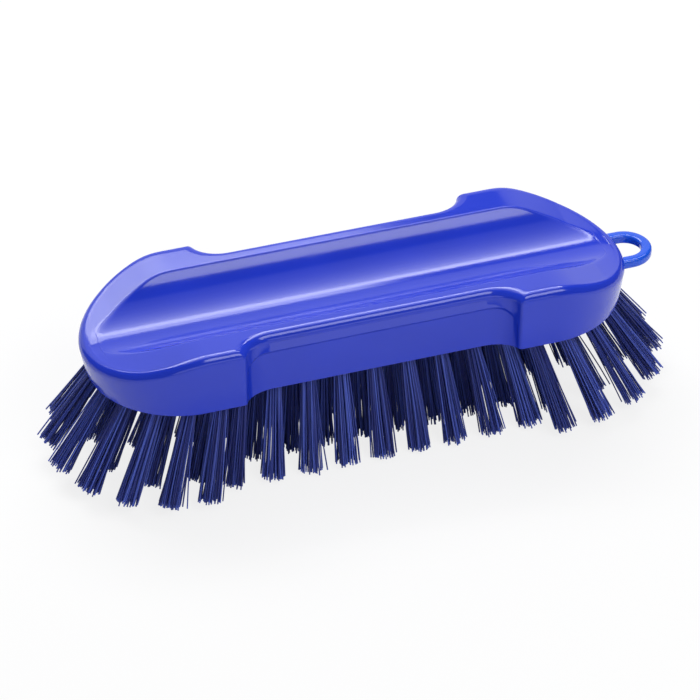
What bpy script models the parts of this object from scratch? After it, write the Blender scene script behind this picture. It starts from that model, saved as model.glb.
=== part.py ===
"""A hand cleaning brush: one moulded block with a hanging eye, and tufts of stiff filament set in its holes.

Lengths are in metres. The length runs along X, with the hanging eye at +X, and the brush stands at z = 0
on the cut ends of its middle tufts. A height inside the block is measured up from the block's tufted face.
"""

import math

import bmesh
import bpy
from mathutils import Matrix, Vector

# Block, seen from above: two round lobes, the near and far sides alike, with a narrower waist between them
half_length = 0.106
lobe_half_width = 0.0371
lobe_length = 0.0530
end_curve_length = 0.0380
lip_half_width = 0.029
grip_half_width = 0.0304

# Hollow curve from the waist to a lobe: its length along the block, and the arc that gives its shape
blend_length = 0.0120
blend_turn = math.radians(75)

# How far the lobes are drawn in at the tufted face, below their flared walls
foot_end_inset = 0.0018
foot_side_inset = 0.0007

# Block, seen from the side: level in the middle, with a ramp down to each end
middle_height = 0.0241
ramp_length = 0.0350
ramp_slope_share = 0.335
ramp_blend = 0.0055
end_crown_rise = 0.0006
crown_power_share = 6.0
crown_ring_shares = (0.93, 0.84, 0.7, 0.5, 0.3)
edge_radius = 0.0034
edge_steps = 3
blend_steps = 6
end_steps = 9
grip_height_share = 0.88

# Hollow along the top
trough_floor = 0.014
trough_radius = 0.030
trough_sides = 96

# Shallow panel in each side of the waist
panel_depth = 0.0006
panel_margin = 0.0034
panel_height = 0.0180
panel_corner = 0.0065
panel_corner_steps = 4

# Hanging eye, a flat loop on the end at +X
eye_half_width = 0.0104
eye_bar_width = 0.0041
eye_bar_thickness = 0.0038
eye_bottom = 0.0074
eye_reach = 0.00275
eye_sink = 0.006
eye_edge_radius = 0.0009
eye_steps = 14

# Tufts and the holes that they are set in
tuft_length = 0.040
trim_height = 0.0395
hole_radius = 0.0031
hole_depth = 0.0095
hole_sides = 8
clearance = 0.0003
strand_radius = 0.0009
strand_sides = 3
strand_ring_radius = 0.00175
strands_round = 5
tip_spread_share = 1.8
link_width = 0.0030
link_depth = 0.0020
link_sink = 0.0004

# How far the tufts lean outwards, as the tangent at the end and at the side of the block
even_fan_share = 0.303
end_fan_share = 0.514
side_fan_share = 0.473

# Rows of tufts in the waist, from the near side to the far side
row_pitch = 0.01125
row_margin = 0.0018
row_skew_share = 0.25
rows = 5
outer_row_tufts = 9
inner_row_tufts = 8

# Rings of tufts in each lobe
ring_inset = 0.0085
ring_margin = 0.0075
ring_tufts = 10
inner_ring_inset = 0.0197
inner_ring_tufts = 6
heart_margin = 0.0055
heart_pitch = 0.0140
measuring_steps = 200

# Overrun of the cutters past the faces that they cut, and how near two points are before they are one
overrun = 0.001
weld_distance = 0.00001

# Places along the block that follow from the sizes above
lobe_step = half_length - lobe_length
blend_start = lobe_step - blend_length
end_curve_start = half_length - end_curve_length
ramp_start = half_length - ramp_length
panel_half_length = lobe_step - panel_margin
eye_centre = half_length + eye_reach
eye_root = half_length - eye_sink
tuft_pitch = 2 * (lobe_step - row_margin) / (outer_row_tufts - 1)
ring_start = lobe_step + ring_margin
heart_first = lobe_step + heart_margin


def clear_scene():
    for old in list(bpy.data.objects):
        bpy.data.objects.remove(old, do_unlink=True)


def new_collection(name):
    collection = bpy.data.collections.new(name)
    bpy.context.scene.collection.children.link(collection)
    return collection


def plastic(name, colour, roughness):
    material = bpy.data.materials.new(name)
    material.use_nodes = True
    shader = material.node_tree.nodes["Principled BSDF"]
    shader.inputs["Base Color"].default_value = (*colour, 1)
    shader.inputs["Roughness"].default_value = roughness
    shader.inputs["Metallic"].default_value = 0
    material.diffuse_color = (*colour, 1)
    return material


def add_object(name, bm, collection, material=None):
    """Turns a bmesh into an object whose mesh holds its place, and gives it to a collection."""
    bmesh.ops.recalc_face_normals(bm, faces=bm.faces)
    mesh = bpy.data.meshes.new(name)
    bm.to_mesh(mesh)
    bm.free()
    if material:
        mesh.materials.append(material)
    made = bpy.data.objects.new(name, mesh)
    collection.objects.link(made)
    return made


def add_helper(name, bm, collection):
    helper = add_object(name, bm, collection)
    helper.hide_render = True
    helper.display_type = "WIRE"
    return helper


def combine(target, other, operation):
    modifier = target.modifiers.new(other.name, "BOOLEAN")
    modifier.operation = operation
    modifier.solver = "EXACT"
    modifier.object = other


def slanted_prism(bm, sides, radius, low, high):
    """A prism between two points, with level ends, its section mirrored between the ends and the sides."""
    along = high - low
    turned = Matrix.Rotation(math.pi / sides, 4, "Z")
    out, side = math.copysign(1, low.x), math.copysign(1, low.y)
    shape = Matrix(((out, 0, along.x, 0), (0, side, along.y, 0), (0, 0, along.z, 0), (0, 0, 0, 1)))
    place = Matrix.Translation((low + high) / 2) @ shape @ turned
    bmesh.ops.create_cone(
        bm, cap_ends=True, segments=sides, radius1=radius, radius2=radius, depth=1, matrix=place
    )


def quarter_outline(inset, waist, foot_share=0):
    """One quarter of the outline, from the middle of its side to its end: 0 is at the rim, 1 at the foot."""
    points = [(0, waist - inset), (blend_start / 2, waist - inset)]
    half_width = lobe_half_width - foot_share * foot_side_inset
    reach = end_curve_length - foot_share * foot_end_inset - inset
    corner = lobe_step + inset
    for step in range(blend_steps + 1):
        turn = blend_turn * step / blend_steps
        x = blend_start + (corner - blend_start) * math.sin(turn) / math.sin(blend_turn)
        out = (1 - math.cos(turn)) / (1 - math.cos(blend_turn))
        points.append((x, waist - inset + (half_width - waist) * out))
    points.append(((corner + end_curve_start) / 2, half_width - inset))
    for step in range(end_steps + 1):
        turn = math.pi / 2 * (1 - step / end_steps)
        points.append((end_curve_start + reach * math.cos(turn), (half_width - inset) * math.sin(turn)))
    points[-1] = (points[-1][0], 0)
    return points


def edge_height(x):
    """Height of the top's outer edge: level, then a ramp, with a parabola between them."""
    past = x - (ramp_start - ramp_blend)
    if past <= 0:
        return middle_height
    if past >= 2 * ramp_blend:
        return middle_height - ramp_slope_share * (x - ramp_start)
    return middle_height - ramp_slope_share * past**2 / (4 * ramp_blend)


def crown(x, share):
    """Rise of the top above its outer edge, at a share of the way out from the middle line."""
    towards_end = min(max((x - ramp_start) / (half_length - ramp_start), 0), 1)
    return end_crown_rise * towards_end * (1 - share**crown_power_share)


def block_rings():
    """Quarter rings of the block's skin, from the tufted face up its side and in across its top."""
    rim = quarter_outline(edge_radius, lip_half_width)
    rim_heights = [edge_height(x) for x, _ in rim]
    rings = []
    for share in (0, grip_height_share):
        wall = quarter_outline(0, grip_half_width, 1 - share)
        rings.append([(x, y, (top - edge_radius) * share) for (x, y), top in zip(wall, rim_heights)])
    for step in range(edge_steps + 1):
        turn = math.pi / 2 * step / edge_steps
        ring = quarter_outline(edge_radius * (1 - math.cos(turn)), lip_half_width)
        drop = edge_radius * (1 - math.sin(turn))
        rings.append([(x, y, top - drop) for (x, y), top in zip(ring, rim_heights)])
    for share in crown_ring_shares:
        ring = []
        for x, y in rim:
            if x > end_curve_start:
                x = end_curve_start + (x - end_curve_start) * share
            ring.append((x, y * share, edge_height(x) + crown(x, share)))
        rings.append(ring)
    return rings


def full_ring(quarter):
    """The whole ring of a quarter, each point once, going round from the far side's middle."""
    far_plus = quarter
    near_plus = [(x, -y, z) for x, y, z in reversed(quarter[:-1])]
    near_minus = [(-x, -y, z) for x, y, z in quarter[1:]]
    far_minus = [(-x, y, z) for x, y, z in reversed(quarter[1:-1])]
    return far_plus + near_plus + near_minus + far_minus


def block_body():
    bm = bmesh.new()
    loops = []
    for quarter in block_rings():
        ring = full_ring(quarter)
        loops.append([bm.verts.new((x, y, z + trim_height)) for x, y, z in ring])
    bm.faces.new(loops[0])
    for lower, upper in zip(loops, loops[1:]):
        count = len(lower)
        for i in range(count):
            after = (i + 1) % count
            bm.faces.new((lower[i], lower[after], upper[after], upper[i]))
    bm.faces.new(loops[-1])
    return bm


def trough_cutter():
    bm = bmesh.new()
    place = Matrix.Translation((0, 0, trim_height + trough_floor + trough_radius))
    lying = Matrix.Rotation(math.pi / 2, 4, "Y")
    bmesh.ops.create_cone(
        bm, cap_ends=True, segments=trough_sides, radius1=trough_radius, radius2=trough_radius,
        depth=2 * (half_length + overrun), matrix=place @ lying,
    )
    return bm


def panel_cutter(side):
    """A flat block that takes the panel's depth off one side of the waist, round at its upper corners."""
    bm = bmesh.new()
    bmesh.ops.create_cube(bm, size=1)
    size = Vector((2 * panel_half_length, 2 * panel_depth, panel_height + overrun))
    bmesh.ops.scale(bm, vec=size, verts=bm.verts)
    through = [e for e in bm.edges if e.verts[0].co.y * e.verts[1].co.y < 0]
    upper = [e for e in through if e.verts[0].co.z > 0]
    bmesh.ops.bevel(
        bm, geom=upper, offset=panel_corner, segments=panel_corner_steps, affect="EDGES", profile=0.5
    )
    middle = trim_height + (panel_height - overrun) / 2
    bmesh.ops.translate(bm, vec=(0, side * grip_half_width, middle), verts=bm.verts)
    return bm


def eye_outline():
    """The eye seen from above: out along one leg, round the loop, and back inside the bar."""
    turns = [math.pi * (step / eye_steps - 0.5) for step in range(eye_steps + 1)]
    points = []
    for radius, way in ((eye_half_width, 1), (eye_half_width - eye_bar_width, -1)):
        side = [(eye_root, -way * radius)]
        side += [(eye_centre + radius * math.cos(t), way * radius * math.sin(t)) for t in turns]
        points += side + [(eye_root, way * radius)]
    return points


def eye_bar(collection):
    """The hanging eye as a flat outline given its thickness and round edges, then made a mesh."""
    curve = bpy.data.curves.new("eye_curve", "CURVE")
    curve.dimensions = "2D"
    curve.fill_mode = "BOTH"
    curve.bevel_depth = eye_edge_radius
    curve.bevel_resolution = 1
    curve.offset = -eye_edge_radius
    curve.extrude = eye_bar_thickness / 2 - eye_edge_radius
    points = eye_outline()
    line = curve.splines.new("POLY")
    line.points.add(len(points) - 1)
    line.use_cyclic_u = True
    for point, (x, y) in zip(line.points, points):
        point.co = (x, y, 0, 1)
    outline = bpy.data.objects.new("eye_outline", curve)
    collection.objects.link(outline)
    bpy.context.view_layer.update()
    solid = outline.evaluated_get(bpy.context.evaluated_depsgraph_get())
    bm = bmesh.new()
    bm.from_mesh(bpy.data.meshes.new_from_object(solid))
    bpy.data.objects.remove(outline, do_unlink=True)
    bmesh.ops.remove_doubles(bm, verts=bm.verts, dist=weld_distance)
    level = trim_height + eye_bottom + eye_bar_thickness / 2
    bmesh.ops.translate(bm, vec=(0, 0, level), verts=bm.verts)
    return bm


def lean_at(root):
    """The way that a tuft points: one unit down, with its outward lean."""
    along, across = root.x / half_length, root.y / lobe_half_width
    return Vector((even_fan_share * along + end_fan_share * along**3, side_fan_share * across, -1))


def waist_row(row):
    """Roots of one row of the waist, each row shifted a little from the one before."""
    outer = row in (0, rows - 1)
    count = outer_row_tufts if outer else inner_row_tufts
    y = (row - (rows - 1) / 2) * row_pitch
    shift = -row * row_skew_share * tuft_pitch
    first = -tuft_pitch * math.floor((count / 2 * tuft_pitch + shift) / tuft_pitch) + shift
    return [Vector((first + tuft_pitch * i, y, trim_height)) for i in range(count)]


def lobe_ring(inset, count, end):
    """Roots spaced alike round one lobe, from its near side round its end to its far side."""
    reach, width = half_length - inset - end_curve_start, lobe_half_width - inset
    turns = [math.pi * (step / measuring_steps - 0.5) for step in range(measuring_steps + 1)]
    curve = [Vector((end_curve_start + reach * math.cos(t), width * math.sin(t))) for t in turns]
    curve = [Vector((ring_start, -width)), *curve, Vector((ring_start, width))]
    lengths = [0]
    for one, two in zip(curve, curve[1:]):
        lengths.append(lengths[-1] + (two - one).length)
    roots, at = [], 0
    for i in range(count):
        wanted = lengths[-1] * i / (count - 1)
        while at < len(curve) - 2 and lengths[at + 1] < wanted:
            at += 1
        share = (wanted - lengths[at]) / (lengths[at + 1] - lengths[at])
        place = curve[at].lerp(curve[at + 1], share)
        roots.append(Vector((end * place.x, place.y, trim_height)))
    return roots


def tuft_groups():
    """The roots of each node: one tuft, or two neighbours inside the pattern that share a link."""
    groups = {}
    for name, row in (("near", 0), ("far", rows - 1)):
        for i, root in enumerate(waist_row(row), 1):
            groups[f"tuft_waist_{name}_{i}"] = [root]
    for name, row in (("near", 1), ("middle", 2), ("far", 3)):
        roots = waist_row(row)
        for i in range(inner_row_tufts // 2):
            groups[f"tuft_pair_waist_{name}_{i + 1}"] = roots[2 * i : 2 * i + 2]
    for name, end in (("plain_end", -1), ("eye_end", 1)):
        for i, root in enumerate(lobe_ring(ring_inset, ring_tufts, end), 1):
            groups[f"tuft_{name}_{i}"] = [root]
        inner = lobe_ring(inner_ring_inset, inner_ring_tufts, end)
        for i in range(inner_ring_tufts // 2):
            groups[f"tuft_pair_{name}_{i + 1}"] = inner[2 * i : 2 * i + 2]
        heart = [Vector((end * (heart_first + heart_pitch * i), 0, trim_height)) for i in range(2)]
        groups[f"tuft_pair_{name}_heart"] = heart
    return groups


def hole_top(root, depth):
    """The point on a tuft's line that lies this far up inside the block."""
    return root - lean_at(root) * depth


def link_box(bm, roots, width, depth):
    """The link between two roots, or its slot: a bar along the tufted face from one hole to the other."""
    one, two = roots
    along = two - one
    turn = Matrix.Rotation(math.atan2(along.y, along.x), 4, "Z")
    size = Matrix.Diagonal((along.length, width, depth, 1))
    place = Matrix.Translation((one + two) / 2 + Vector((0, 0, depth / 2)))
    bmesh.ops.create_cube(bm, size=1, matrix=place @ turn @ size)


def hole_cutters(collection):
    """All the tuft holes, as one cutter for the round holes and one for the slots of the links."""
    holes, slots = bmesh.new(), bmesh.new()
    for roots in tuft_groups().values():
        for root in roots:
            low, high = hole_top(root, -overrun), hole_top(root, hole_depth)
            slanted_prism(holes, hole_sides, hole_radius, low, high)
        if len(roots) == 2:
            low = [root - Vector((0, 0, overrun)) for root in roots]
            link_box(slots, low, link_width + 2 * clearance, link_depth + clearance + overrun)
    return [
        add_helper("hole_cutter", holes, collection),
        add_helper("slot_cutter", slots, collection),
    ]


def strand_offsets(root):
    """One strand in the middle and the others round it, mirrored between the ends and between the sides."""
    out, side = math.copysign(strand_ring_radius, root.x), math.copysign(strand_ring_radius, root.y)
    turns = [2 * math.pi * i / strands_round for i in range(strands_round)]
    return [Vector((0, 0, 0))] + [Vector((out * math.cos(t), side * math.sin(t), 0)) for t in turns]


def strand(bm, root, offset):
    """One strand from inside the tuft's root to its cut end, which is level."""
    lean = lean_at(root)
    way = lean * tuft_length + offset * (tip_spread_share - 1)
    length = min(tuft_length / way.length, trim_height / -way.z)
    start = root + offset
    inside = start - way * (clearance / tuft_length)
    slanted_prism(bm, strand_sides, strand_radius, start + way * length, inside)


def tuft_strands(roots):
    bm = bmesh.new()
    for root in roots:
        for offset in strand_offsets(root):
            strand(bm, root, offset)
    return bm


def tuft_root(root):
    """The packed root of one tuft in its hole."""
    bm = bmesh.new()
    slanted_prism(bm, hole_sides, hole_radius - clearance, root, hole_top(root, hole_depth - clearance))
    return bm


def add_tuft(name, roots, material, tufts, helpers):
    """A tuft of strands on its root. A pair is joined by a link along the tufted face."""
    tuft = add_object(name, tuft_root(roots[0]), tufts, material)
    if len(roots) == 2:
        combine(tuft, add_helper(f"{name}_second_root", tuft_root(roots[1]), helpers), "UNION")
        bm = bmesh.new()
        sunk = [root + Vector((0, 0, link_sink)) for root in roots]
        link_box(bm, sunk, link_width, link_depth - link_sink)
        combine(tuft, add_helper(f"{name}_link", bm, helpers), "UNION")
    combine(tuft, add_helper(f"{name}_strands", tuft_strands(roots), helpers), "UNION")


def add_block(material, parts, helpers):
    block = add_object("block", block_body(), parts, material)
    combine(block, add_helper("trough_cutter", trough_cutter(), helpers), "DIFFERENCE")
    for name, side in (("near", -1), ("far", 1)):
        combine(block, add_helper(f"{name}_panel_cutter", panel_cutter(side), helpers), "DIFFERENCE")
    combine(block, add_helper("eye_bar", eye_bar(helpers), helpers), "UNION")
    for cutter in hole_cutters(helpers):
        combine(block, cutter, "DIFFERENCE")


def main():
    clear_scene()
    parts = new_collection("cleaning_brush")
    helpers = new_collection("cutters")
    blue = plastic("blue_polypropylene", (0.045, 0.09, 0.62), 0.25)
    navy = plastic("navy_filament", (0.012, 0.018, 0.12), 0.4)
    add_block(blue, parts, helpers)
    for name, roots in tuft_groups().items():
        add_tuft(name, roots, navy, parts, helpers)


main()
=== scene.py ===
"""A hand cleaning brush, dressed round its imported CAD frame.

One glossy blue moulding with a hollow top and a hanging eye, and tufts of stiff navy filament
in its underside.
Lengths are in metres, in the frame's own axes: +X towards the hanging eye, +Z up, the cut tuft
ends at z = 0.
"""

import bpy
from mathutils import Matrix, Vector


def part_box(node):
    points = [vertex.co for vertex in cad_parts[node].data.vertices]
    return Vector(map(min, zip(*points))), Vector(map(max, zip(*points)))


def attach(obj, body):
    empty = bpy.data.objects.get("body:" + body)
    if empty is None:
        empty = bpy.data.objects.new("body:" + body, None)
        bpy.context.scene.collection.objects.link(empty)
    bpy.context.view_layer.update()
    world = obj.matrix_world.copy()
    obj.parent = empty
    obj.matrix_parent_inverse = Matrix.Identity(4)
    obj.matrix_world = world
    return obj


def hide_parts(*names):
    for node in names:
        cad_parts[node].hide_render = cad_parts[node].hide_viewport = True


bl_info = {
    "name": "Cleaning Brush",
    "version": (1, 0, 0),
    "blender": (4, 5, 0),
    "location": "3D View > Sidebar > Cleaning Brush",
    "description": "Builds a hand cleaning brush round its packed frame",
    "category": "Add Mesh",
}

import math
import random

import bmesh
import bpy
import numpy as np
from bpy.props import FloatProperty, FloatVectorProperty, IntProperty, PointerProperty
from bpy.types import Operator, Panel, PropertyGroup
from mathutils import Matrix, Vector

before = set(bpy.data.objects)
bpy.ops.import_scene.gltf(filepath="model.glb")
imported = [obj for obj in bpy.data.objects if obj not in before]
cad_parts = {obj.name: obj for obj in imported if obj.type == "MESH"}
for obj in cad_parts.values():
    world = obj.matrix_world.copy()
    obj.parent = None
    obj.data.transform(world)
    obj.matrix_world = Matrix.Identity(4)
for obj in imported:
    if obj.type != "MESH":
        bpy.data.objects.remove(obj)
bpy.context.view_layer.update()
block_low, block_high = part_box("block")

BODY = "root"
MM = 0.001
MERGE_GAP = 0.002 * MM
SAME_PLACE = 0.01 * MM


def length(name, description, default, **more):
    """A length that a user can change, shown in Blender's own units."""
    return FloatProperty(
        name=name, description=description, default=default, subtype="DISTANCE", unit="LENGTH",
        precision=5, **more
    )


def colour(name, description, default):
    return FloatVectorProperty(
        name=name, description=description, default=default, subtype="COLOR", size=3, min=0, max=1
    )


class BlockSizes(PropertyGroup):
    """Sizes of the moulded block."""

    half_length: length("Half length", "From the middle to one end, without the eye", -block_low[0])
    half_width: length("Half width", "From the middle line to the side of a lobe", block_high[1])
    foot: length("Tufted face", "Height of the block's underside", block_low[2])
    end_length: length("End curve", "Length of the round end of a lobe", 38.0 * MM)
    lobe_length: length("Lobe", "Length of a lobe from its step to the end", 53.0 * MM)
    foot_end_inset: length(
        "Foot end inset", "How far an end is drawn in at the tufted face", 1.8 * MM
    )
    foot_side_inset: length("Foot side inset", "How far a lobe's side is drawn in there", 0.7 * MM)
    lobe_corner: length("Lobe corner", "Length of the round corner of a lobe at its step", 0.9 * MM)
    grip_half_width: length("Grip half width", "Half the width of the waist's wall", 30.4 * MM)
    lip_half_width: length("Lip half width", "Half the width of the waist at the top", 29.0 * MM)
    blend_length: length("Blend", "Length of the hollow curve from the waist to a lobe", 12 * MM)
    blend_turn: FloatProperty(
        name="Blend arc", description="Arc that gives that curve its shape", subtype="ANGLE",
        default=math.radians(75)
    )
    edge_height: length(
        "Edge height", "Height of the lobes' level top above the tufted face", 24.75 * MM
    )
    edge_radius: length("Edge radius", "Round edge all along the top", 3.4 * MM)
    grip_height: length(
        "Grip height", "Height at which the waist's wall starts to lean in", 18.3 * MM
    )
    foot_radius: length("Foot radius", "Small round edge along the tufted face", 0.45 * MM)
    ramp_length: length("Ramp", "Length of the ramp down to each end", 35 * MM)
    ramp_blend: length(
        "Ramp blend", "Half the length of the soft bend at the ramp's start", 5.5 * MM
    )
    ramp_drop: length("Ramp drop", "How far the edge falls along one ramp", 11.5 * MM)
    rim_fall: length(
        "Rim fall", "How much the rim falls inwards, over a lobe's half width", 3.0 * MM
    )
    trough_floor: length("Hollow floor", "Height of the hollow's lowest line", 13.4 * MM)
    trough_radius: length("Hollow radius", "Radius of the hollow's round section", 30 * MM)
    crease: length("Crease", "Softness of the crease between hollow and rim", 0.6 * MM)
    panel_depth: length("Panel depth", "Depth of the panel in each side of the waist", 0.9 * MM)
    panel_half_length: length("Panel half length", "Half the length of that panel", 52.3 * MM)
    panel_height: length("Panel height", "Height of that panel's upper edge", 16.4 * MM)
    panel_slope: FloatProperty(
        name="Panel slope", default=1.6,
        description="How steeply the panel's upper edge rises outwards"
    )
    panel_corner: length("Panel corner", "Radius of that panel's upper corners", 7 * MM)


class EyeSizes(PropertyGroup):
    """Sizes of the hanging eye."""

    half_width: length("Half width", "Half the width of the loop", 10.4 * MM)
    bar_width: length("Bar width", "Width of the loop's bar seen from above", 4.1 * MM)
    bar_height: length("Bar height", "Height of the loop's bar", 3.8 * MM)
    bar_round: length("Bar edge", "Round edge of the bar", 1.1 * MM)
    underside: length("Underside", "Height of the loop's underside above the tufted face", 7.4 * MM)
    reach: length("Reach", "From the block's end to the centre of the loop", 2.75 * MM)
    sink: length("Sink", "How far the legs run on inside the block", 6 * MM)


class TuftSizes(PropertyGroup):
    """Sizes and counts of the tufts and their filaments."""

    reach: length("Length", "Length of a tuft below the block", 40 * MM)
    hole_radius: length("Hole radius", "Radius of a tuft at the tufted face", 3.1 * MM)
    hole_depth: length("Hole depth", "How deep the hole of a tuft runs", 3.0 * MM)
    row_pitch: length("Row pitch", "Distance between the rows of the waist", 11.25 * MM)
    row_margin: length(
        "Row margin", "From a lobe's step to the last tuft of an outer row", 1.8 * MM
    )
    ring_inset: length(
        "Ring inset", "From the block's outline to the outer ring of a lobe", 8.5 * MM
    )
    ring_margin: length("Ring margin", "From a lobe's step to its first tuft", 7.5 * MM)
    inner_inset: length(
        "Inner inset", "From the block's outline to the inner ring of a lobe", 19.7 * MM
    )
    heart_margin: length(
        "Heart margin", "From a lobe's step to the first tuft on its middle line", 5.5 * MM
    )
    heart_pitch: length("Heart pitch", "Distance between those two tufts", 14 * MM)
    even_fan: FloatProperty(
        name="Even fan", description="Lean that grows evenly to the ends", default=0.303
    )
    end_fan: FloatProperty(
        name="End fan", description="Lean that grows near the ends", default=0.514
    )
    side_fan: FloatProperty(
        name="Side fan", description="Lean that grows to the sides", default=0.473
    )
    spread: FloatProperty(
        name="Spread", description="Width of a tuft at its tip over its root", default=1.55
    )
    filament: length("Filament", "Radius of one filament", 0.27 * MM)
    bow: length("Bow", "How far a filament bends off its line", 0.7 * MM)
    ragged: length("Ragged ends", "How unevenly the filaments end", 0.9 * MM)
    stray: length("Stray", "How far a stray filament bends away", 3.2 * MM)
    count: IntProperty(
        name="Filaments", description="Filaments in one tuft", default=58, min=8, max=120
    )


class Colours(PropertyGroup):
    """Colours of the plastics and of the stage."""

    block: colour("Block", "Blue of the moulded block", (0.014, 0.042, 0.60))
    eye: colour("Eye", "Blue of the thin hanging eye", (0.010, 0.10, 0.76))
    filament: colour("Filament", "Navy of most filaments", (0.014, 0.024, 0.20))
    pale_filament: colour("Pale filament", "Navy of the palest filaments", (0.08, 0.13, 0.60))
    floor: colour("Floor", "White of the floor", (0.92, 0.92, 0.92))


def sizes(name):
    return getattr(bpy.context.scene, name)


# Making pieces


def deselect_all():
    if bpy.context.mode != "OBJECT":
        bpy.ops.object.mode_set(mode="OBJECT")
    bpy.ops.object.select_all(action="DESELECT")


def name_new_piece(name):
    """Names the object that an operator has just added, and puts its place into its mesh."""
    piece = bpy.context.object
    piece.name = name
    piece.data.name = name
    bpy.ops.object.transform_apply(location=True, rotation=True, scale=True)
    return piece


def finish_piece(piece, material, smooth_angle):
    deselect_all()
    piece.select_set(True)
    bpy.context.view_layer.objects.active = piece
    piece.data.materials.clear()
    piece.data.materials.append(material)
    bpy.ops.object.shade_smooth_by_angle(angle=smooth_angle)
    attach(piece, BODY)


def apply_modifiers(piece):
    deselect_all()
    piece.select_set(True)
    bpy.context.view_layer.objects.active = piece
    for modifier in list(piece.modifiers):
        bpy.ops.object.modifier_apply(modifier=modifier.name)


# Materials


def new_material(name):
    material = bpy.data.materials.new(name)
    material.use_nodes = True
    material.node_tree.nodes.clear()
    return material


def add_node(tree, kind, x, y, **values):
    node = tree.nodes.new(kind)
    node.location = (x, y)
    for key, value in values.items():
        setattr(node, key, value)
    return node


RARE_RUB = (0.62, 0.78)
TINT_RANGE = (0.90, 1.10)
# Pale blue painted along the hollow's crease as a highlight line, partly as wear, and how much of
# it is mixed in
CREASE_SHEEN_AND_WEAR_BLUE = (0.42, 0.46, 0.88, 1)
CREASE_SHEEN_AND_WEAR_SHARE = 0.07
WORN_ROUGHNESS = 0.15
RUB_ROUGHNESS = 0.05
ROUGHNESS_RANGE = (0.85, 1.2)
GRAIN_HEIGHT = 0.015
PLASTIC_IOR = 1.5
FILAMENT_IOR = 1.46
FILAMENT_ROUGHNESS = (0.28, 0.46)
FILAMENT_CUT = 0.965
CUT_TONE = 0.45
SINK_DETAIL = 1.5
GRAIN_DETAIL = 3.0
RUB_DETAIL = 4.0
RUB_STRETCH = (0.5, 1.0, 1.0)
PLASTIC_BUMP_SHARE = 0.5
SPECK_SCALE = 700.0
SPECK_DETAIL = 2.0
FILAMENT_BUMP_SHARE = 0.25
FILAMENT_BUMP = 0.05 * MM


def moulding_group():
    """Marks of a moulded plastic skin: slow sink, fine grain and a few dull rubbed places."""
    group = bpy.data.node_groups.get("moulding_marks")
    if group:
        return group
    group = bpy.data.node_groups.new("moulding_marks", "ShaderNodeTree")
    face = group.interface
    face.new_socket("Vector", in_out="INPUT", socket_type="NodeSocketVector")
    for name, default in (("Sink Scale", 35.0), ("Grain Scale", 900.0), ("Rub Scale", 60.0)):
        face.new_socket(name, in_out="INPUT", socket_type="NodeSocketFloat").default_value = default
    for name in ("Sink", "Grain", "Rub"):
        face.new_socket(name, in_out="OUTPUT", socket_type="NodeSocketFloat")
    start = add_node(group, "NodeGroupInput", -900, 0)
    end = add_node(group, "NodeGroupOutput", 500, 0)
    sink = add_node(group, "ShaderNodeTexNoise", -500, 300)
    sink.inputs["Detail"].default_value = SINK_DETAIL
    grain = add_node(group, "ShaderNodeTexNoise", -500, 0)
    grain.inputs["Detail"].default_value = GRAIN_DETAIL
    stretch = add_node(group, "ShaderNodeMapping", -700, -300)
    stretch.inputs["Scale"].default_value = RUB_STRETCH
    rub = add_node(group, "ShaderNodeTexNoise", -500, -300)
    rub.inputs["Detail"].default_value = RUB_DETAIL
    rare = add_node(group, "ShaderNodeMapRange", -250, -300, interpolation_type="SMOOTHSTEP")
    rare.inputs["From Min"].default_value, rare.inputs["From Max"].default_value = RARE_RUB
    link = group.links.new
    link(start.outputs["Vector"], sink.inputs["Vector"])
    link(start.outputs["Vector"], grain.inputs["Vector"])
    link(start.outputs["Vector"], stretch.inputs["Vector"])
    link(stretch.outputs["Vector"], rub.inputs["Vector"])
    link(start.outputs["Sink Scale"], sink.inputs["Scale"])
    link(start.outputs["Grain Scale"], grain.inputs["Scale"])
    link(start.outputs["Rub Scale"], rub.inputs["Scale"])
    link(rub.outputs["Fac"], rare.inputs["Value"])
    link(sink.outputs["Fac"], end.inputs["Sink"])
    link(grain.outputs["Fac"], end.inputs["Grain"])
    link(rare.outputs["Result"], end.inputs["Rub"])
    return group


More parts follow.
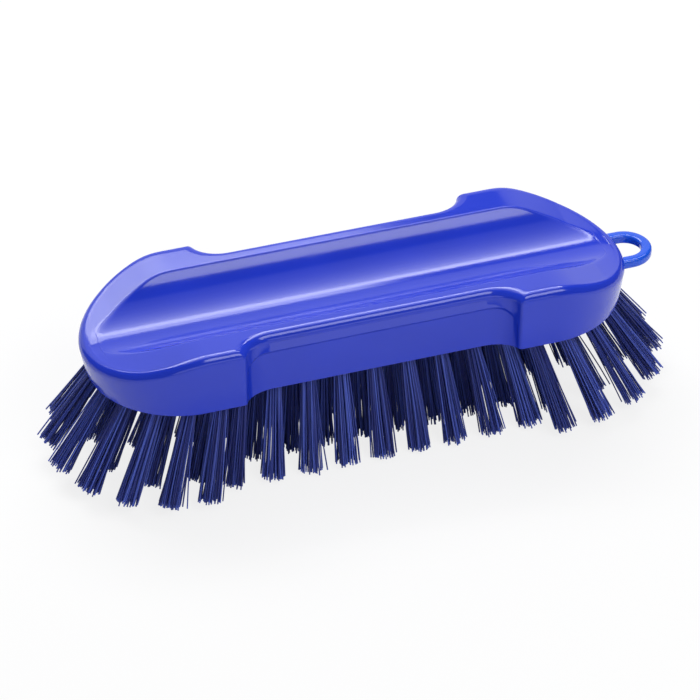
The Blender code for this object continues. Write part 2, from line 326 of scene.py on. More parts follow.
def moulded_plastic(name, base, roughness, depth):
    """Glossy moulded plastic: uneven blue, fine grain, dull rubbed places, and a crease painted
    paler as a highlight line and made rougher as wear.
    """
    material = new_material(name)
    tree = material.node_tree
    link = tree.links.new
    place = add_node(tree, "ShaderNodeTexCoord", -1100, 0)
    marks = add_node(tree, "ShaderNodeGroup", -850, 0)
    marks.node_tree = moulding_group()
    # The band along the crease is painted paler, as a highlight line and partly as wear, and made
    # rougher
    crease_sheen_and_wear = add_node(tree, "ShaderNodeAttribute", -850, 400, attribute_name="crease_sheen_and_wear")
    sheen_and_wear_share = add_node(tree, "ShaderNodeMath", -600, 400, operation="MULTIPLY")
    sheen_and_wear_share.inputs[1].default_value = CREASE_SHEEN_AND_WEAR_SHARE
    tint = add_node(tree, "ShaderNodeMix", -500, 200, data_type="RGBA")
    tint.inputs["A"].default_value = (*(TINT_RANGE[0] * part for part in base), 1)
    tint.inputs["B"].default_value = (*(min(TINT_RANGE[1] * part, 1) for part in base), 1)
    pale = add_node(tree, "ShaderNodeMix", -250, 300, data_type="RGBA")
    pale.inputs["B"].default_value = CREASE_SHEEN_AND_WEAR_BLUE
    rough = add_node(tree, "ShaderNodeMapRange", -500, 0)
    rough.inputs["To Min"].default_value = roughness * ROUGHNESS_RANGE[0]
    rough.inputs["To Max"].default_value = roughness * ROUGHNESS_RANGE[1]
    rubbed = add_node(tree, "ShaderNodeMath", -250, 0, operation="MULTIPLY_ADD")
    rubbed.inputs[1].default_value = RUB_ROUGHNESS
    duller = add_node(tree, "ShaderNodeMath", -80, 100, operation="MULTIPLY_ADD")
    duller.inputs[1].default_value = WORN_ROUGHNESS
    heights = add_node(tree, "ShaderNodeMath", -500, -300, operation="MULTIPLY_ADD")
    heights.inputs[1].default_value = GRAIN_HEIGHT
    bump = add_node(tree, "ShaderNodeBump", -100, -300)
    bump.inputs["Strength"].default_value = PLASTIC_BUMP_SHARE
    bump.inputs["Distance"].default_value = depth
    shader = add_node(tree, "ShaderNodeBsdfPrincipled", 100, 200)
    shader.inputs["IOR"].default_value = PLASTIC_IOR
    end = add_node(tree, "ShaderNodeOutputMaterial", 400, 200)
    link(place.outputs["Object"], marks.inputs["Vector"])
    link(marks.outputs["Sink"], tint.inputs["Factor"])
    link(crease_sheen_and_wear.outputs["Fac"], sheen_and_wear_share.inputs[0])
    link(sheen_and_wear_share.outputs["Value"], pale.inputs["Factor"])
    link(tint.outputs["Result"], pale.inputs["A"])
    link(pale.outputs["Result"], shader.inputs["Base Color"])
    link(marks.outputs["Grain"], rough.inputs["Value"])
    link(marks.outputs["Rub"], rubbed.inputs[0])
    link(rough.outputs["Result"], rubbed.inputs[2])
    link(crease_sheen_and_wear.outputs["Fac"], duller.inputs[0])
    link(rubbed.outputs["Value"], duller.inputs[2])
    link(duller.outputs["Value"], shader.inputs["Roughness"])
    link(marks.outputs["Grain"], heights.inputs[0])
    link(marks.outputs["Sink"], heights.inputs[2])
    link(heights.outputs["Value"], bump.inputs["Height"])
    link(bump.outputs["Normal"], shader.inputs["Normal"])
    link(shader.outputs["BSDF"], end.inputs["Surface"])
    return material


def nylon_filament():
    """Drawn navy filament: each strand has its own tone, and its cut end is a little paler."""
    material = new_material("navy_filament")
    tree = material.node_tree
    link = tree.links.new
    own = add_node(tree, "ShaderNodeAttribute", -900, 200, attribute_name="tone")
    along = add_node(tree, "ShaderNodeAttribute", -900, -100, attribute_name="along")
    place = add_node(tree, "ShaderNodeTexCoord", -900, -400)
    specks = add_node(tree, "ShaderNodeTexNoise", -700, -400)
    specks.inputs["Scale"].default_value = SPECK_SCALE
    specks.inputs["Detail"].default_value = SPECK_DETAIL
    ends = add_node(tree, "ShaderNodeMapRange", -700, -100)
    ends.inputs["From Min"].default_value = FILAMENT_CUT
    ends.inputs["To Max"].default_value = CUT_TONE
    mixed = add_node(tree, "ShaderNodeMath", -500, 100, operation="ADD", use_clamp=True)
    tint = add_node(tree, "ShaderNodeMix", -300, 200, data_type="RGBA")
    tint.inputs["A"].default_value = (*sizes("brush_colours").filament, 1)
    tint.inputs["B"].default_value = (*sizes("brush_colours").pale_filament, 1)
    rough = add_node(tree, "ShaderNodeMapRange", -300, -200)
    rough.inputs["To Min"].default_value, rough.inputs["To Max"].default_value = FILAMENT_ROUGHNESS
    bump = add_node(tree, "ShaderNodeBump", -100, -400)
    bump.inputs["Strength"].default_value = FILAMENT_BUMP_SHARE
    bump.inputs["Distance"].default_value = FILAMENT_BUMP
    shader = add_node(tree, "ShaderNodeBsdfPrincipled", 100, 200)
    shader.inputs["IOR"].default_value = FILAMENT_IOR
    end = add_node(tree, "ShaderNodeOutputMaterial", 400, 200)
    link(own.outputs["Fac"], mixed.inputs[0])
    link(along.outputs["Fac"], ends.inputs["Value"])
    link(ends.outputs["Result"], mixed.inputs[1])
    link(mixed.outputs["Value"], tint.inputs["Factor"])
    link(tint.outputs["Result"], shader.inputs["Base Color"])
    link(place.outputs["Object"], specks.inputs["Vector"])
    link(specks.outputs["Fac"], rough.inputs["Value"])
    link(rough.outputs["Result"], shader.inputs["Roughness"])
    link(specks.outputs["Fac"], bump.inputs["Height"])
    link(bump.outputs["Normal"], shader.inputs["Normal"])
    link(shader.outputs["BSDF"], end.inputs["Surface"])
    return material


# The block


STRAIGHT_STEPS = 34
HOLLOW_STEPS = 20
CORNER_STEPS = 7
CORNER_SHARE = 0.88
PANEL_CORNER_STEPS = 16
SIDE_STEPS = 10
END_STEPS = 56
EDGE_STEPS = 30
PROFILE_STEPS = 180
# Each flatter band of the lip: its slope from the wall and its width in degrees, and how much
# it is stretched
LIP_BANDS = ((83, 4, 2.5), (46, 5, 1.6))
FOOT_SHARES = (0.0, 0.35, 0.7, 1.0)
FOOT_ROUND_STEPS = 3
SEARCH_STEPS = 800
BLOCK_SMOOTH = math.radians(24)
BLOCK_ROUGHNESS = 0.12
BLOCK_BUMP = 0.05 * MM
OUTER_STEPS = 10
CREASE_STEPS = 16
INNER_STEPS = 40
CREASE_REACH = 1.4 * MM
TINY = 1e-9
STEEPEST_SHARE = 0.99
WALL_MIDDLE = 0.5
CUTTER_CLEARANCE = 5 * MM
# Width of the band along the crease that is painted paler as a highlight line and made rougher as
# wear
CREASE_SHEEN_AND_WEAR_WIDTH = 0.4 * MM


def quarter_outline(inset, waist, foot_share=0.0):
    """A quarter of the outline, drawn in: waist, hollow curve, corner, side and round end."""
    block = sizes("brush_block")
    step = block.half_length - block.lobe_length + inset
    bend = block.half_length - block.end_length
    first = block.half_length - block.lobe_length - block.blend_length
    side = block.half_width - foot_share * block.foot_side_inset - inset
    reach = block.end_length - foot_share * block.foot_end_inset - inset
    full = block.blend_turn
    points = [(first * i / STRAIGHT_STEPS, waist - inset) for i in range(STRAIGHT_STEPS)]
    for i in range(HOLLOW_STEPS + 1):
        turn = CORNER_SHARE * full * i / HOLLOW_STEPS
        out = (1 - math.cos(turn)) / (1 - math.cos(full))
        x = first + (step - first) * math.sin(turn) / math.sin(full)
        points.append((x, waist - inset + (side - waist + inset) * out))
    before, at = Vector(points[-1]), Vector((step, side))
    after = Vector((step + block.lobe_corner, side))
    for i in range(1, CORNER_STEPS + 1):
        share = i / CORNER_STEPS
        points.append(tuple(before.lerp(at, share).lerp(at.lerp(after, share), share)))
    start = points[-1][0]
    points += [(start + (bend - start) * i / SIDE_STEPS, side) for i in range(1, SIDE_STEPS)]
    for i in range(END_STEPS + 1):
        turn = math.pi / 2 * (1 - i / END_STEPS)
        points.append((bend + reach * math.cos(turn), side * math.sin(turn)))
    points[-1] = (points[-1][0], 0)
    return np.array(points)


def edge_heights(x):
    """Height of the top's edge above the tufted face: level, a soft bend, then a ramp."""
    block = sizes("brush_block")
    start = block.half_length - block.ramp_length
    slope = block.ramp_drop / block.ramp_length
    past = np.clip(x - start + block.ramp_blend, 0, 2 * block.ramp_blend)
    beyond = np.maximum(x - start - block.ramp_blend, 0)
    return block.edge_height - slope * (past**2 / (4 * block.ramp_blend) + beyond)


def rim_heights(x, y, edge_y):
    """Height of the rim, which falls a little from the sides of the lobes inwards."""
    block = sizes("brush_block")
    waist = block.half_width - block.lip_half_width + block.edge_radius
    within = np.minimum(block.half_width - edge_y, waist) + edge_y - np.abs(y)
    return edge_heights(x) - block.rim_fall * within / block.half_width


def hollow_heights(y):
    block = sizes("brush_block")
    radius = block.trough_radius
    y = np.minimum(np.abs(y), STEEPEST_SHARE * radius)
    return block.trough_floor + radius - np.sqrt(radius**2 - y**2)


def top_heights(x, y, edge_y):
    """Height of the top: the rim cut by the round hollow, with a slightly soft crease."""
    soft = sizes("brush_block").crease
    rim, hollow = rim_heights(x, y, edge_y), hollow_heights(y)
    near = np.maximum(soft - np.abs(rim - hollow), 0) / soft
    return np.minimum(rim, hollow) - near**2 * soft / 4


def crease_places(x, edge_y):
    """How far from the middle line the crease lies on each line across the block."""
    shares = np.linspace(0, 1, SEARCH_STEPS)
    y = edge_y[:, None] * shares
    gap = rim_heights(x[:, None], y, edge_y[:, None]) - hollow_heights(y)
    found = np.where((gap > 0).all(axis=1), len(shares) - 1, (gap > 0).argmin(axis=1))
    found = np.maximum(found, 1)
    lines = np.arange(len(found))
    before, after = gap[lines, found - 1], gap[lines, found]
    part = np.clip(before / np.maximum(before - after, TINY), 0, 1)
    return edge_y * (shares[found - 1] + part * shares[1])


def across_lines(x, edge_y):
    """How far out each line along the top lies, from the edge inwards, dense at the crease."""
    crease = crease_places(x, edge_y)
    reach = np.minimum(CREASE_REACH, np.minimum(crease, edge_y - crease) / 2)
    marks = [edge_y, crease + reach, crease - reach, np.zeros_like(edge_y)]
    rows = []
    for outer, inner, steps in zip(marks, marks[1:], (OUTER_STEPS, CREASE_STEPS, INNER_STEPS)):
        rows += [outer + (inner - outer) * i / steps for i in range(1, steps + 1)]
    return rows


def edge_profile():
    """The round edge's section: how far in and how far down it has come, from the wall to the rim.

    It is flatter where it faces upwards and where it faces the viewer, as a moulded lip is after
    wear.
    """
    turns = np.radians(np.linspace(0, 90, PROFILE_STEPS + 1))
    middle = (turns[1:] + turns[:-1]) / 2
    flat = np.ones_like(middle)
    for at, wide, rise in LIP_BANDS:
        flat += rise * np.exp(-(((middle - math.radians(at)) / math.radians(wide)) ** 2))
    out = np.r_[0, np.cumsum(flat * np.sin(middle))]
    up = np.r_[0, np.cumsum(flat * np.cos(middle))]
    pick = np.round(np.linspace(0, 1, EDGE_STEPS + 1) * PROFILE_STEPS).astype(int)
    return zip(out[pick] / out[-1], 1 - up[pick] / up[-1])


def block_rings():
    """Quarter rings of the block's skin: out over the tufted face, up the side, in over the top."""
    block = sizes("brush_block")
    grip, lip = block.grip_half_width, block.lip_half_width
    rim = quarter_outline(block.edge_radius, lip)
    tops = rim_heights(rim[:, 0], rim[:, 1], rim[:, 1])
    foot = quarter_outline(block.foot_radius, grip, 1)
    rings = [np.c_[foot[:, 0], foot[:, 1] * share, 0 * tops] for share in FOOT_SHARES]
    for i in range(1, FOOT_ROUND_STEPS + 1):
        turn = math.pi / 2 * i / FOOT_ROUND_STEPS
        round_foot = quarter_outline(block.foot_radius * (1 - math.sin(turn)), grip, 1)
        rings.append(np.c_[round_foot, 0 * tops + block.foot_radius * (1 - math.cos(turn))])
    lean = block.grip_height / (block.edge_height - block.edge_radius)
    for share in (WALL_MIDDLE, lean):
        rings.append(np.c_[quarter_outline(0, grip, 1 - share), (tops - block.edge_radius) * share])
    for inward, down in edge_profile():
        outline = quarter_outline(block.edge_radius * inward, lip)
        rings.append(np.c_[outline, tops - block.edge_radius * down])
    for y in across_lines(rim[:, 0], rim[:, 1]):
        rings.append(np.c_[rim[:, 0], y, top_heights(rim[:, 0], y, rim[:, 1])])
    return rings


def full_ring(quarter):
    """The whole ring of a quarter, each point once, going round from the far side's middle."""
    mirror_y, mirror_x = np.array((1, -1, 1)), np.array((-1, 1, 1))
    return np.concatenate([
        quarter, quarter[-2::-1] * mirror_y,
        quarter[1:] * mirror_x * mirror_y, quarter[-2:0:-1] * mirror_x,
    ]) + np.array((0, 0, sizes("brush_block").foot))


def place_ring(piece, ring):
    """Moves the selected vertices to their places on a ring, each by its own spoke."""
    bm = bmesh.from_edit_mesh(piece.data)
    spoke = bm.verts.layers.int["spoke"]
    for vert in bm.verts:
        if vert.select:
            vert.co = ring[vert[spoke]]
    bmesh.update_edit_mesh(piece.data)


def extrude_rings(name, rings):
    """A closed skin: a circle given the first ring's shape, extruded from ring to ring."""
    deselect_all()
    bpy.ops.mesh.primitive_circle_add(vertices=len(rings[0]), radius=1, fill_type="NOTHING")
    piece = name_new_piece(name)
    spoke = piece.data.attributes.new("spoke", "INT", "POINT")
    spoke.data.foreach_set("value", np.arange(len(rings[0]), dtype=np.int32))
    bpy.ops.object.mode_set(mode="EDIT")
    bpy.ops.mesh.select_mode(type="VERT")
    bpy.ops.mesh.select_all(action="SELECT")
    place_ring(piece, rings[0])
    for ring in rings[1:]:
        bpy.ops.mesh.extrude_region_move()
        place_ring(piece, ring)
    bpy.ops.mesh.select_all(action="SELECT")
    bpy.ops.mesh.remove_doubles(threshold=MERGE_GAP)
    bpy.ops.mesh.delete_loose()
    bpy.ops.mesh.select_all(action="SELECT")
    bpy.ops.mesh.normals_make_consistent(inside=False)
    bpy.ops.object.mode_set(mode="OBJECT")
    piece.data.attributes.remove(piece.data.attributes["spoke"])
    return piece


def mark_crease_sheen_and_wear(piece):
    """Marks the skin close to the crease: painted paler there as a highlight line along the
    hollow's edge, and made rougher where hands have rubbed it.
    """
    block = sizes("brush_block")
    rim = quarter_outline(block.edge_radius, block.lip_half_width)
    order = np.argsort(rim[:, 0])
    points = np.empty(3 * len(piece.data.vertices), dtype=np.float32)
    piece.data.vertices.foreach_get("co", points)
    x, y, z = points.reshape(-1, 3).T
    crease = np.interp(np.abs(x), rim[order, 0], crease_places(rim[:, 0], rim[:, 1])[order])
    # A band along the crease, to be painted paler as a highlight line and partly as wear
    near = np.clip(1 - np.abs(np.abs(y) - crease) / CREASE_SHEEN_AND_WEAR_WIDTH, 0, 1)
    crease_sheen_and_wear = near * (z > block.foot + block.trough_floor)
    attribute = piece.data.attributes.new("crease_sheen_and_wear", "FLOAT", "POINT")
    attribute.data.foreach_set("value", crease_sheen_and_wear.astype(np.float32))


def panel_cutter(side):
    """The cutter of one side's panel: its floor follows the wall, its upper corners are round."""
    block = sizes("brush_block")
    wall = quarter_outline(0, block.grip_half_width, WALL_MIDDLE)
    radius = block.panel_corner
    turns = np.linspace(0, math.pi / 2, PANEL_CORNER_STEPS)
    bend = block.panel_half_length - radius
    x = np.r_[np.linspace(0, bend, STRAIGHT_STEPS)[:-1], bend + radius * np.sin(turns)]
    top = np.r_[np.zeros(STRAIGHT_STEPS - 1), radius * (1 - np.cos(turns))]
    top = block.foot + block.panel_height - top
    inner = np.interp(x, wall[:, 0], wall[:, 1]) - block.panel_depth
    low, outer = block.foot - MM, block.half_width + CUTTER_CLEARANCE
    rise = block.panel_slope * (outer - inner)
    half = [
        np.array([(at, near, low), (at, near, high), (at, outer, high + up), (at, outer, low)])
        * (1, side, 1)
        for at, near, high, up in zip(x, inner, top, rise)
    ]
    half.append(half[-1] * 0 + half[-1].mean(axis=0))
    return extrude_rings("panel_cutter", [ring * (-1, 1, 1) for ring in half[:0:-1]] + half)


def cut_with(piece, cutter):
    modifier = piece.modifiers.new("cut", "BOOLEAN")
    modifier.operation = "DIFFERENCE"
    modifier.solver = "EXACT"
    modifier.object = cutter
    apply_modifiers(piece)
    bpy.data.objects.remove(cutter, do_unlink=True)


class BRUSH_OT_block(Operator):
    """Makes the moulded block with its hollow top and side panels"""

    bl_idname = "cleaning_brush.block"
    bl_label = "Moulded Block"

    def execute(self, context):
        piece = extrude_rings("moulded_block", [full_ring(quarter) for quarter in block_rings()])
        for side in (-1, 1):
            cut_with(piece, panel_cutter(side))
        mark_crease_sheen_and_wear(piece)
        blue = sizes("brush_colours").block
        material = moulded_plastic("blue_moulding", blue, BLOCK_ROUGHNESS, BLOCK_BUMP)
        finish_piece(piece, material, BLOCK_SMOOTH)
        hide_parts("block")
        return {"FINISHED"}


# The hanging eye


EYE_ROUND_STEPS = 5
EYE_TURN_STEPS = 40
EYE_SMOOTH = math.radians(50)
EYE_ROUGHNESS = 0.14
EYE_BUMP = 0.1 * MM


class BRUSH_OT_eye(Operator):
    """Makes the flat hanging eye at the end of the block"""

    bl_idname = "cleaning_brush.eye"
    bl_label = "Hanging Eye"

    def execute(self, context):
        eye, block = sizes("brush_eye"), sizes("brush_block")
        height = block.foot + eye.underside + eye.bar_height / 2
        centre = Vector((block.half_length + eye.reach, 0, height))
        middle = eye.half_width - eye.bar_width / 2
        deselect_all()
        start = centre - Vector((0, middle, 0))
        bpy.ops.mesh.primitive_plane_add(size=1, location=start, rotation=(0, math.pi / 2, 0))
        bpy.context.object.scale = (eye.bar_height, eye.bar_width, 1)
        piece = name_new_piece("hanging_eye")
        bpy.ops.object.mode_set(mode="EDIT")
        bpy.ops.mesh.select_all(action="SELECT")
        bpy.ops.mesh.bevel(affect="VERTICES", offset=eye.bar_round, segments=EYE_ROUND_STEPS)
        bpy.ops.mesh.select_all(action="SELECT")
        bpy.ops.mesh.spin(steps=EYE_TURN_STEPS, angle=-math.pi, center=centre, axis=(0, 0, 1))
        bpy.ops.mesh.select_all(action="DESELECT")
        bpy.ops.mesh.select_mode(type="FACE")
        for side in (-1, 1):
            self.extend_leg(piece, centre, side, eye.reach + eye.sink)
        bpy.ops.mesh.select_all(action="SELECT")
        bpy.ops.mesh.remove_doubles(threshold=MERGE_GAP)
        bpy.ops.mesh.normals_make_consistent(inside=False)
        bpy.ops.object.mode_set(mode="OBJECT")
        blue = sizes("brush_colours").eye
        material = moulded_plastic("clear_blue_moulding", blue, EYE_ROUGHNESS, EYE_BUMP)
        finish_piece(piece, material, EYE_SMOOTH)
        return {"FINISHED"}

    def extend_leg(self, piece, centre, side, reach):
        """Runs one leg of the loop straight back from its end face into the block."""
        def at_leg(part):
            return all(
                abs(vert.co.x - centre.x) < SAME_PLACE and side * vert.co.y > 0
                for vert in part.verts
            )

        bpy.ops.mesh.select_all(action="DESELECT")
        bm = bmesh.from_edit_mesh(piece.data)
        edges = [edge for edge in bm.edges if at_leg(edge)]
        for face in list(bm.faces):
            if at_leg(face):
                bm.faces.remove(face)
        new = bmesh.ops.extrude_edge_only(bm, edges=edges)["geom"]
        verts = [part for part in new if isinstance(part, bmesh.types.BMVert)]
        for vert in verts:
            vert.co.x -= reach
        rim = [
            part for part in new
            if isinstance(part, bmesh.types.BMEdge) and set(part.verts) <= set(verts)
        ]
        bmesh.ops.contextual_create(bm, geom=rim)
        bmesh.update_edit_mesh(piece.data)


# The tufts


ROWS = 5
OUTER_ROW_TUFTS = 9
INNER_ROW_TUFTS = 8
ROW_SKEW = 0.25
RING_TUFTS = 10
INNER_RING_TUFTS = 6
STRAND_SIDES = 6
STRAND_CUTS = 4
STRAND_SMOOTH = math.radians(62)
STRAY_EVERY = 29
FIRST_STRAY = 5
STRAY_SHARES = (0.4, 1)
FILL_JITTER = (0.2, 0.8)
TURN_JITTER = 0.3
THICKNESS_RANGE = (0.9, 1.08)
ROW_ROUNDING = 1e-6
GOLDEN_TURN = 2.39996
TUFT_FILL = 0.94
ROOT_SHARE = 0.85
TIP_WANDER = 0.45
END_SPREAD = 0.7
TONE_POWER = 1.9
RING_STEPS = 201
FLOOR_GAP = 0.02 * MM
FIRST_SEED = 1000


def waist_row(row):
    """Roots of one row of the waist, each row shifted a little from the one before."""
    tuft, block = sizes("brush_tufts"), sizes("brush_block")
    last = block.half_length - block.lobe_length - tuft.row_margin
    pitch = 2 * last / (OUTER_ROW_TUFTS - 1)
    count = OUTER_ROW_TUFTS if row in (0, ROWS - 1) else INNER_ROW_TUFTS
    shift = -row * ROW_SKEW * pitch
    first = shift - pitch * math.floor((count / 2 * pitch + shift) / pitch + ROW_ROUNDING)
    y = (row - (ROWS - 1) / 2) * tuft.row_pitch
    return [Vector((first + pitch * i, y, block.foot)) for i in range(count)]


def lobe_ring(inset, count, end):
    """Roots spaced alike round one lobe, from its near side round its end to its far side."""
    tuft, block = sizes("brush_tufts"), sizes("brush_block")
    bend = block.half_length - block.end_length
    start = block.half_length - block.lobe_length + tuft.ring_margin
    reach, width = block.end_length - inset, block.half_width - inset
    turns = np.linspace(-math.pi / 2, math.pi / 2, RING_STEPS)
    x = np.r_[start, bend + reach * np.cos(turns), start]
    y = np.r_[-width, width * np.sin(turns), width]
    travelled = np.r_[0, np.cumsum(np.hypot(np.diff(x), np.diff(y)))]
    wanted = np.linspace(0, travelled[-1], count)
    places = zip(np.interp(wanted, travelled, x), np.interp(wanted, travelled, y))
    return [Vector((end * px, py, block.foot)) for px, py in places]


def tuft_groups():
    """The roots that each tuft node stands on: one, or two neighbours inside the pattern."""
    tuft, block = sizes("brush_tufts"), sizes("brush_block")
    groups = {}
    for name, row in (("near", 0), ("far", ROWS - 1)):
        for i, root in enumerate(waist_row(row), 1):
            groups[f"tuft_waist_{name}_{i}"] = [root]
    for name, row in (("near", 1), ("middle", 2), ("far", 3)):
        roots = waist_row(row)
        for i in range(INNER_ROW_TUFTS // 2):
            groups[f"tuft_pair_waist_{name}_{i + 1}"] = roots[2 * i : 2 * i + 2]
    heart = block.half_length - block.lobe_length + tuft.heart_margin
    for name, end in (("plain_end", -1), ("eye_end", 1)):
        for i, root in enumerate(lobe_ring(tuft.ring_inset, RING_TUFTS, end), 1):
            groups[f"tuft_{name}_{i}"] = [root]
        inner = lobe_ring(tuft.inner_inset, INNER_RING_TUFTS, end)
        for i in range(INNER_RING_TUFTS // 2):
            groups[f"tuft_pair_{name}_{i + 1}"] = inner[2 * i : 2 * i + 2]
        groups[f"tuft_pair_{name}_heart"] = [
            Vector((end * (heart + tuft.heart_pitch * i), 0, block.foot)) for i in range(2)
        ]
    return groups


def lean_at(root):
    """The way that a tuft points: one unit down, with its outward lean."""
    tuft, block = sizes("brush_tufts"), sizes("brush_block")
    along, side = root.x / block.half_length, root.y / block.half_width
    return Vector((tuft.even_fan * along + tuft.end_fan * along**3, tuft.side_fan * side, -1))


def strand_model():
    """One straight filament of unit length and radius, cut across where it may bend."""
    deselect_all()
    bpy.ops.mesh.primitive_cylinder_add(
        vertices=STRAND_SIDES, radius=1, depth=1, end_fill_type="NGON", location=(0, 0, 0.5)
    )
    strand = name_new_piece("strand_model")
    bpy.ops.object.mode_set(mode="EDIT")
    for i in range(1, STRAND_CUTS + 1):
        bpy.ops.mesh.select_all(action="SELECT")
        height = i / (STRAND_CUTS + 1)
        bpy.ops.mesh.bisect(plane_co=(0, 0, height), plane_no=(0, 0, 1))
    bpy.ops.object.mode_set(mode="OBJECT")
    mesh = strand.data
    points = np.array([vert.co for vert in mesh.vertices])
    faces = [list(face.vertices) for face in mesh.polygons]
    bpy.data.objects.remove(strand, do_unlink=True)
    return points, faces


def filament_lines(root, draw):
    """Start, end, bend, radius and tone of each filament of one tuft."""
    tuft = sizes("brush_tufts")
    lean = lean_at(root)
    along = lean.normalized()
    side_x = along.cross(Vector((0, 1, 0))).normalized()
    side_y = along.cross(side_x)
    inside = root - lean * tuft.hole_depth
    lines = []
    for i in range(tuft.count):
        filled = (i + draw.uniform(*FILL_JITTER)) / tuft.count
        out = tuft.hole_radius * math.sqrt(filled) * TUFT_FILL
        turn = i * GOLDEN_TURN + draw.uniform(-TURN_JITTER, TURN_JITTER)
        offset = Vector((out * math.cos(turn), out * math.sin(turn), 0))
        wander = Vector((draw.gauss(0, 1), draw.gauss(0, 1), 0)) * tuft.ragged * TIP_WANDER
        reach = tuft.reach + draw.uniform(-1, 1) * tuft.ragged * END_SPREAD
        tip = root + along * reach + (side_x * offset.x - side_y * offset.y) * tuft.spread + wander
        start = inside + offset * ROOT_SHARE
        bend = (side_x * draw.uniform(-1, 1) + side_y * draw.uniform(-1, 1)) * tuft.bow
        if i % STRAY_EVERY == FIRST_STRAY:
            away = draw.uniform(0, 2 * math.pi)
            aside = side_x * math.cos(away) + side_y * math.sin(away)
            tip += aside * tuft.stray * draw.uniform(*STRAY_SHARES)
        tone = draw.random() ** TONE_POWER
        lines.append((start, tip, bend, tuft.filament * draw.uniform(*THICKNESS_RANGE), tone))
    return lines


def tuft_mesh(name, roots, model, draw):
    """The mesh of one tuft node: copies of the strand, each laid along its own line."""
    points, faces = model
    verts, polygons, tones, shares = [], [], [], []
    for root in roots:
        for start, tip, bend, radius, tone in filament_lines(root, draw):
            way = tip - start
            across = way.cross(Vector((0, 1, 0))).normalized()
            up = way.cross(across).normalized()
            share = points[:, 2:3]
            line = np.array(start) + share * np.array(way)
            line = line + share**2 * (1 - share) * 4 * np.array(bend)
            section = points[:, :1] * np.array(across) + points[:, 1:2] * np.array(up)
            laid = line + radius * section
            laid[:, 2] = np.maximum(laid[:, 2], FLOOR_GAP)
            first = len(points) * len(verts)
            verts.append(laid)
            polygons += [[first + i for i in face] for face in faces]
            tones.append(np.full(len(points), tone))
            shares.append(points[:, 2])
    mesh = bpy.data.meshes.new(name)
    mesh.from_pydata(np.concatenate(verts).tolist(), [], polygons)
    for key, values in (("tone", tones), ("along", shares)):
        attribute = mesh.attributes.new(key, "FLOAT", "POINT")
        attribute.data.foreach_set("value", np.concatenate(values).astype(np.float32))
    return mesh


class BRUSH_OT_tufts(Operator):
    """Makes the tufts, each of many thin filaments"""

    bl_idname = "cleaning_brush.tufts"
    bl_label = "Tufts"

    def execute(self, context):
        material = nylon_filament()
        model = strand_model()
        for number, (node, roots) in enumerate(tuft_groups().items()):
            name = node.replace("tuft", "filaments", 1)
            mesh = tuft_mesh(name, roots, model, random.Random(FIRST_SEED + number))
            piece = bpy.data.objects.new(name, mesh)
            context.scene.collection.objects.link(piece)
            finish_piece(piece, material, STRAND_SMOOTH)
            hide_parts(node)
        return {"FINISHED"}


# The stage


VIEW_AZIMUTH = math.radians(-17.054)
VIEW_ELEVATION = math.radians(36.710)
VIEW_ROLL = math.radians(-0.937)
VIEW_DISTANCE = 1.1947
VIEW_RIGHT = -0.00208
VIEW_UP = -0.01044
VIEW_LENS = 162.43
FILM_WIDTH = 36
FLOOR_SHOWN_WHITE = 0.82
ROOM_LIGHT = 0.12
ROOM_COLOUR = (0.92, 0.95, 1.0, 1)
OVERHEADS = 7
OVERHEAD_FIRST = 4.0
OVERHEAD_FADE = 0.7
OVERHEAD_LOWEST = 59
OVERHEAD_PITCH = 6
OVERHEAD_AZIMUTH = 6
OVERHEAD_REACH = 1.2
OVERHEAD_WIDTH = 1.2
OVERHEAD_DEPTH = 0.126
LIGHT_CENTRE_HEIGHT = 0.05
FLOOR_SIZE = 8
FLOOR_DROP = 0.05 * MM
# Each light: azimuth and elevation in degrees, distance, width, height, radiance and shift along X
LIGHTS = {
    "strip_behind": (6, 53, 1.2, 1.3, 0.12, 10.5, 0),
    "low_strip_behind": (6, 45.6, 1.2, 0.95, 0.145, 5.6, -0.255),
    "softbox_front": (174, 53, 1.2, 0.75, 0.46, 5.0, 0.33),
    "low_softbox_front": (188, 12, 1.5, 1.6, 0.5, 1.4, 0),
    "wall_behind": (0, 21, 1.8, 3.0, 1.36, 0.85, 0),
}


def add_camera():
    """The camera where the photograph was taken from, found by matching the block's corners."""
    turn, rise, roll = VIEW_AZIMUTH, VIEW_ELEVATION, VIEW_ROLL
    back = Vector((
        math.sin(turn) * math.cos(rise), -math.cos(turn) * math.cos(rise), math.sin(rise)
    ))
    level = Vector((math.cos(turn), math.sin(turn), 0))
    upright = back.cross(level)
    right = level * math.cos(roll) + upright * math.sin(roll)
    up = upright * math.cos(roll) - level * math.sin(roll)
    place = right * VIEW_RIGHT + up * VIEW_UP + back * VIEW_DISTANCE
    place.z += sizes("brush_block").foot
    bpy.ops.object.camera_add(location=place)
    camera = bpy.context.object
    camera.name = "photograph_camera"
    axes = Matrix((right, up, back)).transposed()
    camera.matrix_world = Matrix.Translation(place) @ axes.to_4x4()
    camera.data.sensor_width = FILM_WIDTH
    camera.data.lens = VIEW_LENS
    bpy.context.scene.camera = camera


def add_light(name, azimuth, elevation, distance, width, height, radiance, shift):
    """A flat rectangular light that faces the brush, placed by the direction it shines from."""
    turn, rise = math.radians(azimuth), math.radians(elevation)
    out = Vector((math.sin(turn) * math.cos(rise), math.cos(turn) * math.cos(rise), math.sin(rise)))
    place = out * distance + Vector((shift, 0, LIGHT_CENTRE_HEIGHT))
    bpy.ops.object.light_add(type="AREA", location=place)
    light = bpy.context.object
    light.name = name
    light.rotation_euler = out.to_track_quat("Z", "Y").to_euler()
    light.data.shape = "RECTANGLE"
    light.data.size = width
    light.data.size_y = height
    light.data.energy = radiance * math.pi * width * height


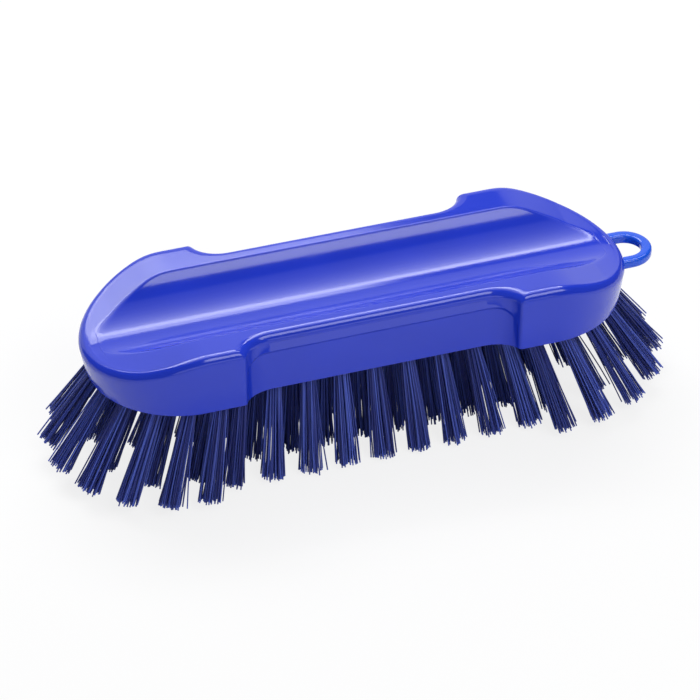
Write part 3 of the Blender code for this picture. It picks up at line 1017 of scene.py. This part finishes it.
def floor_material():
    """White floor: bright for the camera, as in the photograph, but it keeps a soft shadow."""
    material = new_material("white_floor")
    tree = material.node_tree
    link = tree.links.new
    diffuse = add_node(tree, "ShaderNodeBsdfDiffuse", -400, 200)
    diffuse.inputs["Color"].default_value = (*sizes("brush_colours").floor, 1)
    glow = add_node(tree, "ShaderNodeEmission", -400, 0)
    seen = add_node(tree, "ShaderNodeLightPath", -700, 300)
    share = add_node(tree, "ShaderNodeMath", -500, 400, operation="MULTIPLY")
    share.inputs[1].default_value = FLOOR_SHOWN_WHITE
    mix = add_node(tree, "ShaderNodeMixShader", -150, 200)
    end = add_node(tree, "ShaderNodeOutputMaterial", 100, 200)
    link(seen.outputs["Is Camera Ray"], share.inputs[0])
    link(share.outputs["Value"], mix.inputs["Fac"])
    link(diffuse.outputs["BSDF"], mix.inputs[1])
    link(glow.outputs["Emission"], mix.inputs[2])
    link(mix.outputs["Shader"], end.inputs["Surface"])
    return material


def light_world():
    """A plain pale room: white where the camera sees it, soft and greyer as a light."""
    world = bpy.context.scene.world or bpy.data.worlds.new("studio")
    bpy.context.scene.world = world
    world.use_nodes = True
    tree = world.node_tree
    tree.nodes.clear()
    link = tree.links.new
    room = add_node(tree, "ShaderNodeBackground", -300, 0)
    room.inputs["Color"].default_value = ROOM_COLOUR
    room.inputs["Strength"].default_value = ROOM_LIGHT
    white = add_node(tree, "ShaderNodeBackground", -300, -200)
    seen = add_node(tree, "ShaderNodeLightPath", -600, 200)
    mix = add_node(tree, "ShaderNodeMixShader", 0, 0)
    end = add_node(tree, "ShaderNodeOutputWorld", 250, 0)
    link(seen.outputs["Is Camera Ray"], mix.inputs["Fac"])
    link(room.outputs["Background"], mix.inputs[1])
    link(white.outputs["Background"], mix.inputs[2])
    link(mix.outputs["Shader"], end.inputs["Surface"])


class BRUSH_OT_stage(Operator):
    """Makes the floor, the soft lights and the camera"""

    bl_idname = "cleaning_brush.stage"
    bl_label = "Stage"

    def execute(self, context):
        deselect_all()
        bpy.ops.mesh.primitive_plane_add(size=FLOOR_SIZE, location=(0, 0, -FLOOR_DROP))
        floor = name_new_piece("floor")
        floor.data.materials.append(floor_material())
        for name, values in LIGHTS.items():
            add_light(name, *values)
        for number in range(OVERHEADS):
            elevation = OVERHEAD_LOWEST + OVERHEAD_PITCH * number
            radiance = OVERHEAD_FIRST * OVERHEAD_FADE**number
            add_light(
                f"overhead_{number + 1}", OVERHEAD_AZIMUTH, elevation, OVERHEAD_REACH,
                OVERHEAD_WIDTH, OVERHEAD_DEPTH, radiance, 0
            )
        light_world()
        add_camera()
        context.scene.view_settings.view_transform = "Standard"
        return {"FINISHED"}


class BRUSH_PT_panel(Panel):
    """Lists the steps that build the brush"""

    bl_idname = "BRUSH_PT_panel"
    bl_label = "Cleaning Brush"
    bl_space_type = "VIEW_3D"
    bl_region_type = "UI"
    bl_category = "Cleaning Brush"

    def draw(self, context):
        for operator in OPERATORS:
            self.layout.operator(operator.bl_idname)


GROUPS = {
    "brush_block": BlockSizes,
    "brush_eye": EyeSizes,
    "brush_tufts": TuftSizes,
    "brush_colours": Colours,
}
OPERATORS = (BRUSH_OT_block, BRUSH_OT_eye, BRUSH_OT_tufts, BRUSH_OT_stage)
CLASSES = (*GROUPS.values(), *OPERATORS, BRUSH_PT_panel)


def register():
    for cls in CLASSES:
        bpy.utils.register_class(cls)
    for name, group in GROUPS.items():
        setattr(bpy.types.Scene, name, PointerProperty(type=group))


def unregister():
    for name in GROUPS:
        delattr(bpy.types.Scene, name)
    for cls in reversed(CLASSES):
        bpy.utils.unregister_class(cls)


def main():
    register()
    bpy.ops.cleaning_brush.block()
    bpy.ops.cleaning_brush.eye()
    bpy.ops.cleaning_brush.tufts()
    bpy.ops.cleaning_brush.stage()


if __name__ == "__main__":
    main()
